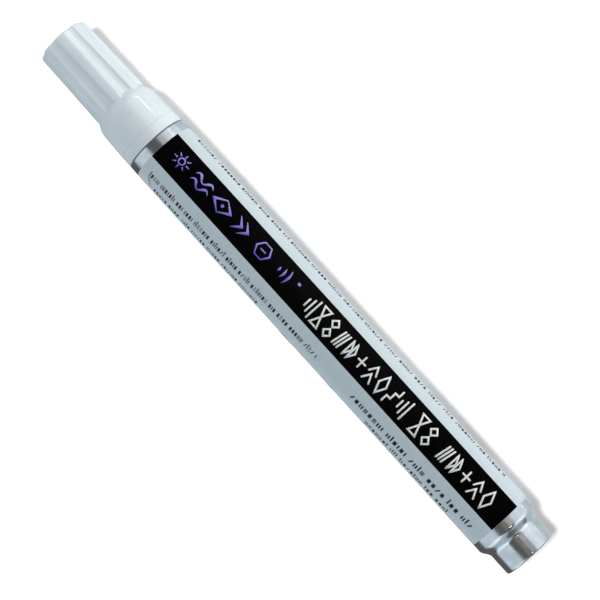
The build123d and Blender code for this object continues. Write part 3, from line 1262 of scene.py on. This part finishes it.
@dataclass
class Label:
    """The printed film: its black stripe, two rows of plain signs and lines of greeked print."""

    seam_degrees: float = 86.0
    seam_gap: float = 0.6
    corner_r: float = 2.2
    edge_bevel: float = 0.03
    stripe: Point2 = (-2.47, 4.82)
    stripe_ink: float = 0.006
    stripe_margin: float = 0.02
    violet_row: Point2 = (33.4, 70.0)
    violet_foot: float = -0.35
    violet_height: float = 3.3
    white_row: Point2 = (74.4, 129.4)
    white_foot: float = -1.3
    white_height: float = 4.5
    white_line: float = 0.4
    white_signs: int = 17
    white_step: int = 4  # from one sign to the next, through the list of signs
    white_share: float = 0.66  # width of a sign, in pitches, as is the gap
    white_gap: float = 0.55
    gap_after: tuple[int, ...] = (9, 11)
    near_lines: tuple[FineLine, ...] = (
        FineLine(33.6, 83.8, -6.3, 1.55, 0.21),
        FineLine(36.1, 68.0, -9.1, 1.5, 0.21),
        FineLine(93.9, 130.0, -6.3, 1.6, 0.34),
        FineLine(99.7, 124.5, -8.9, 1.5, 0.27),
        FineLine(34.7, 126.9, 8.2, 1.6, 0.23),
    )
    far_lines: tuple[FineLine, ...] = tuple(
        FineLine(40.0, 96.0 - 7 * (i % 2), 13.0 + 2.4 * i, 1.4, 0.26) for i in range(4)
    )
    mark_odds: tuple[Mark, ...] = (
        Mark.TICK,
        Mark.TALL,
        Mark.PAIR,
        Mark.BLOCK,
        Mark.BLOCK,
        Mark.STACK,
        Mark.SLANT,
    )
    word_marks: tuple[int, int] = (3, 8)  # fewest and most marks in a word
    low_share: float = 0.7  # height of a low mark, in tall ones
    wide_mark: float = 2.7  # in stroke widths, as are the gaps
    mark_gap: float = 1.1
    word_gap: float = 2.2
    spot: tuple[Point2, float] = ((76.2, -12.1), 2.3)
    diamond: tuple[Point2, ...] = ((87.6, -12.2), (89.9, -14.5), (92.2, -12.2), (89.9, -9.9))
    scuff: tuple[Point2, ...] = ((33.5, -5.9), (34.2, -7.2), (35.4, -8.9))
    bars: int = 18
    bar_start: float = 104.0
    bar_pitch: float = 1.1
    bar_widths: tuple[float, ...] = (0.3, 0.5, 0.75)
    bar_ends: Point2 = (13.2, 20.6)
    seed: int = 7

    def build_film(self) -> bpy.types.Object:
        """Builds the wrapped film with the gap at its seam.

        Returns:
            The film.
        """
        front, rear = SPACE.span("label")
        outer_r, inner_r = SPACE.radius("label"), SPACE.radius("barrel")
        edge, corner_steps, middle_steps = self.edge_bevel, 12, 280
        seam = math.radians(self.seam_degrees) * outer_r
        length = math.tau * outer_r - self.seam_gap
        quarter = math.pi / 2 / corner_steps
        corner = [self.corner_r * (1 - math.cos(quarter * i)) for i in range(corner_steps + 1)]
        straight = length - 2 * self.corner_r
        middle = [self.corner_r + straight * i / middle_steps for i in range(1, middle_steps)]
        mesh = bmesh.new()
        rings = []
        for along in [*corner, *middle, *(length - x for x in reversed(corner))]:
            short = max(self.corner_r - min(along, length - along), 0.0)
            inset = self.corner_r - math.sqrt(self.corner_r**2 - short**2)
            first, last = front + inset, rear - inset
            section = [
                (first, inner_r),
                (first, outer_r - edge),
                (first + edge, outer_r),
                (last - edge, outer_r),
                (last, outer_r - edge),
                (last, inner_r),
            ]
            angle = (seam + self.seam_gap / 2 + along) / outer_r
            rings.append([mesh.verts.new(SPACE.point(*spot, angle)) for spot in section])
        join_rings(mesh, rings)
        return keep_flats_flat(finished_object("label_film", mesh), sharp_degrees=40)

    def print_stripe(self) -> None:
        """Prints the black stripe along the whole label."""
        front, rear = SPACE.span("label")
        printer = Printer(ink_mm=self.stripe_ink)
        low, high = self.stripe
        printer.plate((front + self.stripe_margin, low), (rear - self.stripe_margin, high))
        printer.finish_set("print_stripe_black", BLACK_INK)

    def print_violet(self) -> None:
        """Prints six violet signs of brush-like lines on the stripe's front part.

        Each sign is drawn about its own centre, with its sizes in millimetres.
        """
        printer = Printer(base_mm=self.stripe_ink)
        foot, height = self.violet_foot, self.violet_height
        middle, head = foot + height / 2, foot + height
        start, end = self.violet_row
        pitch = (end - start) / 6
        sun, waves, eye, arrows, cell, ripples = (start + pitch * (i + 0.5) for i in range(6))
        ring = arc_points((sun, middle), 0.7, 0, math.tau, 25)[:-1]
        printer.stroke(ring, (0.3, 0.3), closed=True)
        for k in range(8):
            a = math.tau * k / 8
            ray = [(sun + 1.25 * r * math.cos(a), middle + r * math.sin(a)) for r in (1.0, 1.75)]
            printer.stroke(ray, (0.38, 0.12))
        for shift in (-0.95, 0.65):
            wave = [
                (waves + 5.0 * (t / 24 - 0.5), middle + shift + 0.6 * math.sin(math.tau * t / 16))
                for t in range(25)
            ]
            printer.stroke(wave, (0.1, 0.58, 0.24, 0.58, 0.1))
        diamond = [(eye - 2.4, middle), (eye, foot), (eye + 2.4, middle), (eye, head)]
        printer.stroke(diamond, (0.55, 0.2, 0.55, 0.2, 0.55), closed=True)
        printer.disc((eye, middle), 0.35)
        for shift in (-1.3, 0.5):
            tail, tip = arrows + shift - 0.8, arrows + shift + 0.9
            printer.stroke([(tail, foot), (tip, middle), (tail, head)], (0.12, 0.65, 0.12))
        hexagon = arc_points((cell, middle), 1.85, 0, math.tau, 7)[:-1]
        printer.stroke(hexagon, (0.4, 0.2, 0.4, 0.2, 0.4), closed=True)
        printer.plate((cell - 0.75, middle - 0.15), (cell + 0.75, middle + 0.15))
        for radius in (1.2, 2.5, 3.8):
            ripple = arc_points((ripples - 2.4, middle), radius, -0.46, 0.46, 13)
            printer.stroke(ripple, (0.12, 0.55, 0.12))
        printer.plate((end + 0.4, foot + 2.2), (end + 1.1, foot + 2.8))
        printer.finish_set("print_signs_violet", VIOLET_INK)

    def print_white(self) -> None:
        """Prints a row of narrow white signs along the rest of the stripe."""
        printer = Printer(base_mm=self.stripe_ink)
        signs = list(Sign)
        row = [signs[(i * self.white_step) % len(signs)] for i in range(self.white_signs)]
        at, end = self.white_row
        pitch = (end - at) / (len(row) + self.white_gap * len(self.gap_after))
        width = pitch * self.white_share
        for i, sign in enumerate(row):
            for line, closed in sign_lines(sign):
                path = [(at + x * width, self.white_foot + y * self.white_height) for x, y in line]
                if closed:
                    printer.stroke(path, (self.white_line,) * 2, closed=True)
                else:
                    printer.round_ended(path, self.white_line)
            at += pitch * (1 + self.white_gap if i in self.gap_after else 1)
        printer.finish_set("print_signs_white", WHITE_INK)

    def greeked_line(self, printer: Printer, dice: random.Random, line: FineLine) -> None:
        """Prints one line of greeked print: words of ticks, blocks and dashes, which are no letters.

        Args:
            printer: The set that gets the marks.
            dice: Seeded chance.
            line: The line's place and size.
        """
        at, foot, weight = line.start, line.foot, line.weight
        low = line.height * self.low_share
        while at < line.end:
            for _ in range(dice.randint(*self.word_marks)):
                mark = dice.choice(self.mark_odds)
                wide = weight * (1.0 if mark in (Mark.TICK, Mark.TALL) else self.wide_mark)
                if at + wide > line.end:
                    break
                left, right = at + weight / 2, at + wide - weight / 2
                middle, top = (left + right) / 2, foot + low
                dashes = (foot + weight / 2, foot + low / 2, top - weight / 2)
                strokes = {
                    Mark.TICK: [((left, foot), (left, top), weight)],
                    Mark.TALL: [((left, foot), (left, foot + line.height), weight)],
                    Mark.PAIR: [((x, foot), (x, top), weight) for x in (left, right)],
                    Mark.BLOCK: [((middle, foot), (middle, top), wide * 0.85)],
                    Mark.STACK: [((at, y), (at + wide, y), weight * 0.75) for y in dashes],
                    Mark.SLANT: [((left, foot), (right, top), weight)],
                }
                for start, end, width in strokes[mark]:
                    printer.stroke([start, end], (width, width))
                at += wide + weight * self.mark_gap
            at += weight * self.word_gap

    def print_fine(self) -> None:
        """Prints the fine lines in view, and the block of lines and plain shapes on the far side."""
        dice = random.Random(self.seed)
        near = Printer()
        for line in self.near_lines:
            self.greeked_line(near, dice, line)
        near.disc(*self.spot)
        near.stroke(self.diamond, (0.5, 0.5), closed=True)
        near.finish_set("print_fine_near", SLATE_INK)
        far = Printer()
        for line in self.far_lines:
            self.greeked_line(far, dice, line)
        for i in range(self.bars):
            bar = self.bar_start + self.bar_pitch * i
            far.plate((bar, self.bar_ends[0]), (bar + dice.choice(self.bar_widths), self.bar_ends[1]))
        far.finish_set("print_fine_far", SLATE_INK)

    def print_scuff(self) -> None:
        """Adds the small grey scuff near the front of the lower lines."""
        printer = Printer(base_mm=0.011, ink_mm=0.004)
        printer.stroke(self.scuff, (0.25, 0.5, 0.2))
        printer.finish_set("label_scuff", SCUFF_MARK)

    def make(self) -> None:
        """Builds the film and all of its print."""
        dress(self.build_film(), FILM, "barrel", ["label"])
        for print_set in (
            self.print_stripe,
            self.print_violet,
            self.print_white,
            self.print_fine,
            self.print_scuff,
        ):
            print_set()


# --- Studio ---


class Tint(Enum):
    """Colours of lamps, as linear red, green and blue."""

    NEUTRAL = (1.0, 1.0, 1.0)
    DAYLIGHT = (0.9, 0.97, 1.0)
    PALE_SKY = (0.86, 0.95, 1.0)
    SKY = (0.8, 0.93, 1.0)
    DEEP_SKY = (0.72, 0.9, 1.0)
    STRAW = (1.0, 0.78, 0.5)
    AMBER = (1.0, 0.7, 0.45)


METAL = ("barrel_tube",)
CAP = ("cap_shell_fluted",)


@dataclass(frozen=True)
class SoftLamp:
    """A flat lamp that hangs beside the pen and faces it. It never lights the table."""

    name: str
    side_degrees: float  # from straight up towards +Y, as seen from the pen
    spread_degrees: float  # how much of the view across the pen it fills
    width_m: float  # along the pen
    radiance: float
    tint: Tint = Tint.NEUTRAL
    lean_degrees: float = 0.0  # from straight up towards +X
    shift_m: float = 0.0  # along the pen, once it is aimed
    unlit: tuple[str, ...] = ()  # pieces that it leaves out, besides the table
    only: tuple[str, ...] = ()  # the only pieces that it lights
    shine_only: bool = False  # whether it shows in reflections alone


@dataclass
class Studio:
    """A plain pale table, soft lamps and the camera above the pen."""

    camera_x: float = 0.036
    camera_height: float = 0.439
    lean_degrees: float = 4.53  # how far the camera leans towards the cap
    roll_degrees: float = 47.8  # how far the tail points below the picture's right edge
    lens_mm: float = 128.1
    aim_y: float = 0.00015
    table_size_m: float = 12.0
    table_glow: float = 0.29
    lamp_distance_m: float = 0.9
    window_strength: float = 2.9
    window_width_degrees: float = 11  # how wide the window looks, which softens the shadow
    window_back_degrees: float = 6  # how far its light travels towards the tail
    window_side_degrees: float = 12.5  # and towards +Y
    room_colour: tuple[float, ...] = (0.135, 0.125, 0.12, 1)
    backdrop_colour: tuple[float, ...] = (0.9, 0.9, 0.91, 1)

    lamps: tuple[SoftLamp, ...] = (
        SoftLamp("lamp_right_main", 65, 62, 2.4, 1.0),
        SoftLamp("lamp_right_upper", 23, 22, 1.6, 0.58, unlit=METAL),
        SoftLamp("lamp_right_upper_metal", 23, 22, 1.6, 0.58, only=METAL, shift_m=-0.65),
        SoftLamp("lamp_right_soft", 34, 34, 2.0, 1.15, unlit=METAL),
        SoftLamp(
            "lamp_right_tube",
            62,
            2.2,
            0.6,
            26.0,
            unlit=(*METAL, "label_film"),
            shift_m=-0.54,
            shine_only=True,
        ),
        SoftLamp("lamp_right_tube_soft", 62, 6, 1.2, 1.0, only=METAL, shift_m=-0.5),
        SoftLamp("lamp_right_low", 132, 76, 2.4, 0.7, Tint.DAYLIGHT, only=METAL),
        SoftLamp("lamp_left_fill", -70, 72, 2.4, 0.56, Tint.DEEP_SKY, unlit=METAL),
        SoftLamp("lamp_left_sheen", -70, 72, 2.4, 0.8, Tint.PALE_SKY, only=METAL),
        SoftLamp("lamp_tail_right", 55, 44, 0.9, 0.48, Tint.DAYLIGHT, 46, only=METAL),
        SoftLamp("lamp_tail_left", -62, 64, 0.9, 0.55, Tint.SKY, 46, only=METAL),
        SoftLamp("lamp_flare_left", -50, 60, 1.0, 0.16, Tint.PALE_SKY, -50, only=CAP),
        SoftLamp("lamp_flare_right", 40, 60, 1.0, 0.16, Tint.DAYLIGHT, -50, only=CAP),
        SoftLamp("lamp_warm_card", -1, 12, 0.3, 0.16, Tint.AMBER, 8, only=METAL),
        SoftLamp("lamp_warm_spot", 11, 2.5, 0.04, 60.0, Tint.STRAW, 20, only=METAL),
    )

    def hang(self, lamp: SoftLamp, table: bpy.types.Object) -> None:
        """Hangs one soft lamp and limits what it lights.

        Args:
            lamp: The lamp's place, size and radiance.
            table: The table, which it leaves to the window light.
        """
        data = bpy.data.lights.new(lamp.name, "AREA")
        data.shape = "RECTANGLE"
        height = 2 * self.lamp_distance_m * math.tan(math.radians(lamp.spread_degrees / 2))
        data.size, data.size_y = lamp.width_m, height
        data.energy = lamp.radiance * math.pi * lamp.width_m * height
        data.color = lamp.tint.value
        thing = linked_object(lamp.name, data)
        side, lean = math.radians(lamp.side_degrees), math.radians(lamp.lean_degrees)
        away = Vector((math.sin(lean), math.sin(side) * math.cos(lean), math.cos(side) * math.cos(lean)))
        across = away.cross(Vector((1, 0, 0))).normalized()
        thing.location = Vector((lamp.shift_m, 0, SPACE.axis_z)) + away * self.lamp_distance_m
        thing.rotation_mode = "QUATERNION"
        thing.rotation_quaternion = Matrix((across.cross(away), across, away)).transposed().to_quaternion()
        thing.visible_camera = False
        thing.visible_diffuse = not lamp.shine_only
        group = bpy.data.collections.new(f"{lamp.name}_reach")
        pieces = [bpy.data.objects[name] for name in lamp.only or lamp.unlit]
        for piece in pieces if lamp.only else [table, *pieces]:
            group.objects.link(piece)
        thing.light_linking.receiver_collection = group
        if not lamp.only:
            for member in group.collection_objects:
                member.light_linking.link_state = "EXCLUDE"

    def add_window_light(self, table: bpy.types.Object) -> None:
        """Adds the broad light that whitens the table and draws the pen's soft shadow beside it.

        Args:
            table: The table, which is all that it lights.
        """
        data = bpy.data.lights.new("window_light", "SUN")
        data.energy = self.window_strength
        data.angle = math.radians(self.window_width_degrees)
        thing = linked_object("window_light", data)
        back, side = math.radians(self.window_back_degrees), math.radians(self.window_side_degrees)
        travel = Vector((math.tan(back), math.tan(side), -1))
        thing.rotation_mode = "QUATERNION"
        thing.rotation_quaternion = travel.to_track_quat("-Z", "Y")
        group = bpy.data.collections.new("window_light_reach")
        group.objects.link(table)
        thing.light_linking.receiver_collection = group

    def lay_table(self) -> bpy.types.Object:
        """Lays the pale table, which glows a little as an over-lit sweep does.

        Returns:
            The table.
        """
        mesh = bmesh.new()
        bmesh.ops.create_grid(mesh, x_segments=1, y_segments=1, size=self.table_size_m / 2)
        table = finished_object("studio_table", mesh)
        material = bpy.data.materials.new("matt_paper_sweep")
        material.use_nodes = True
        shader = material.node_tree.nodes["Principled BSDF"]
        shader.inputs["Base Color"].default_value = linear(Hue.TABLE)
        shader.inputs["Roughness"].default_value = 1.0
        shader.inputs["Specular IOR Level"].default_value = 0.0
        shader.inputs["Emission Color"].default_value = (1.0, 1.0, 1.0, 1.0)
        shader.inputs["Emission Strength"].default_value = self.table_glow
        table.data.materials.append(material)
        table.visible_glossy = False
        table.visible_shadow = False
        return table

    def fill_world(self) -> None:
        """Fills the room with dim, slightly warm light, and a pale backdrop where the camera sees it."""
        world = bpy.data.worlds.new("studio_room")
        bpy.context.scene.world = world
        world.use_nodes = True
        tree = world.node_tree
        room = tree.nodes["Background"]
        room.inputs["Color"].default_value = self.room_colour
        backdrop = add_node(tree, "ShaderNodeBackground", {"Color": self.backdrop_colour})
        ray = add_node(tree, "ShaderNodeLightPath")
        links = {0: ray.outputs["Is Camera Ray"], 1: room.outputs[0], 2: backdrop.outputs[0]}
        mix = add_node(tree, "ShaderNodeMixShader", None, links)
        tree.links.new(mix.outputs[0], tree.nodes["World Output"].inputs["Surface"])

    def set_camera(self) -> None:
        """Sets the camera above the tail half, rolled so that the pen lies diagonally."""
        data = bpy.data.cameras.new("camera")
        data.sensor_width = 36
        data.lens = self.lens_mm
        data.clip_start, data.clip_end = 0.01, 50
        camera = linked_object("camera", data)
        drop = self.camera_height - SPACE.axis_z
        place = Vector((self.camera_x, self.aim_y, self.camera_height))
        reach = drop * math.tan(math.radians(self.lean_degrees))
        aim = Vector((self.camera_x - reach, self.aim_y, SPACE.axis_z))
        roll = math.radians(self.roll_degrees)
        back = (place - aim).normalized()
        up = Vector((-math.sin(roll), math.cos(roll), 0))
        right = up.cross(back).normalized()
        up = back.cross(right)
        camera.matrix_world = Matrix.Translation(place) @ Matrix((right, up, back)).transposed().to_4x4()
        bpy.context.scene.camera = camera

    def make(self) -> None:
        """Sets up the table, the lamps, the room and the camera."""
        table = self.lay_table()
        for lamp in self.lamps:
            self.hang(lamp, table)
        self.add_window_light(table)
        self.fill_world()
        self.set_camera()
        bpy.context.scene.view_settings.view_transform = "Standard"


def write_sizes() -> None:
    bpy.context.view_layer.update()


def main() -> None:
    """Builds the pen's looks and the studio, in order."""
    logging.basicConfig(level=logging.INFO, format="%(name)s: %(message)s")
    for part in (Cap(), FrontEnd(), Valve(), Barrel(), Label(), Studio()):
        log.info("building %s", type(part).__name__)
        part.make()
    write_sizes()


if __name__ == "__main__":
    main()
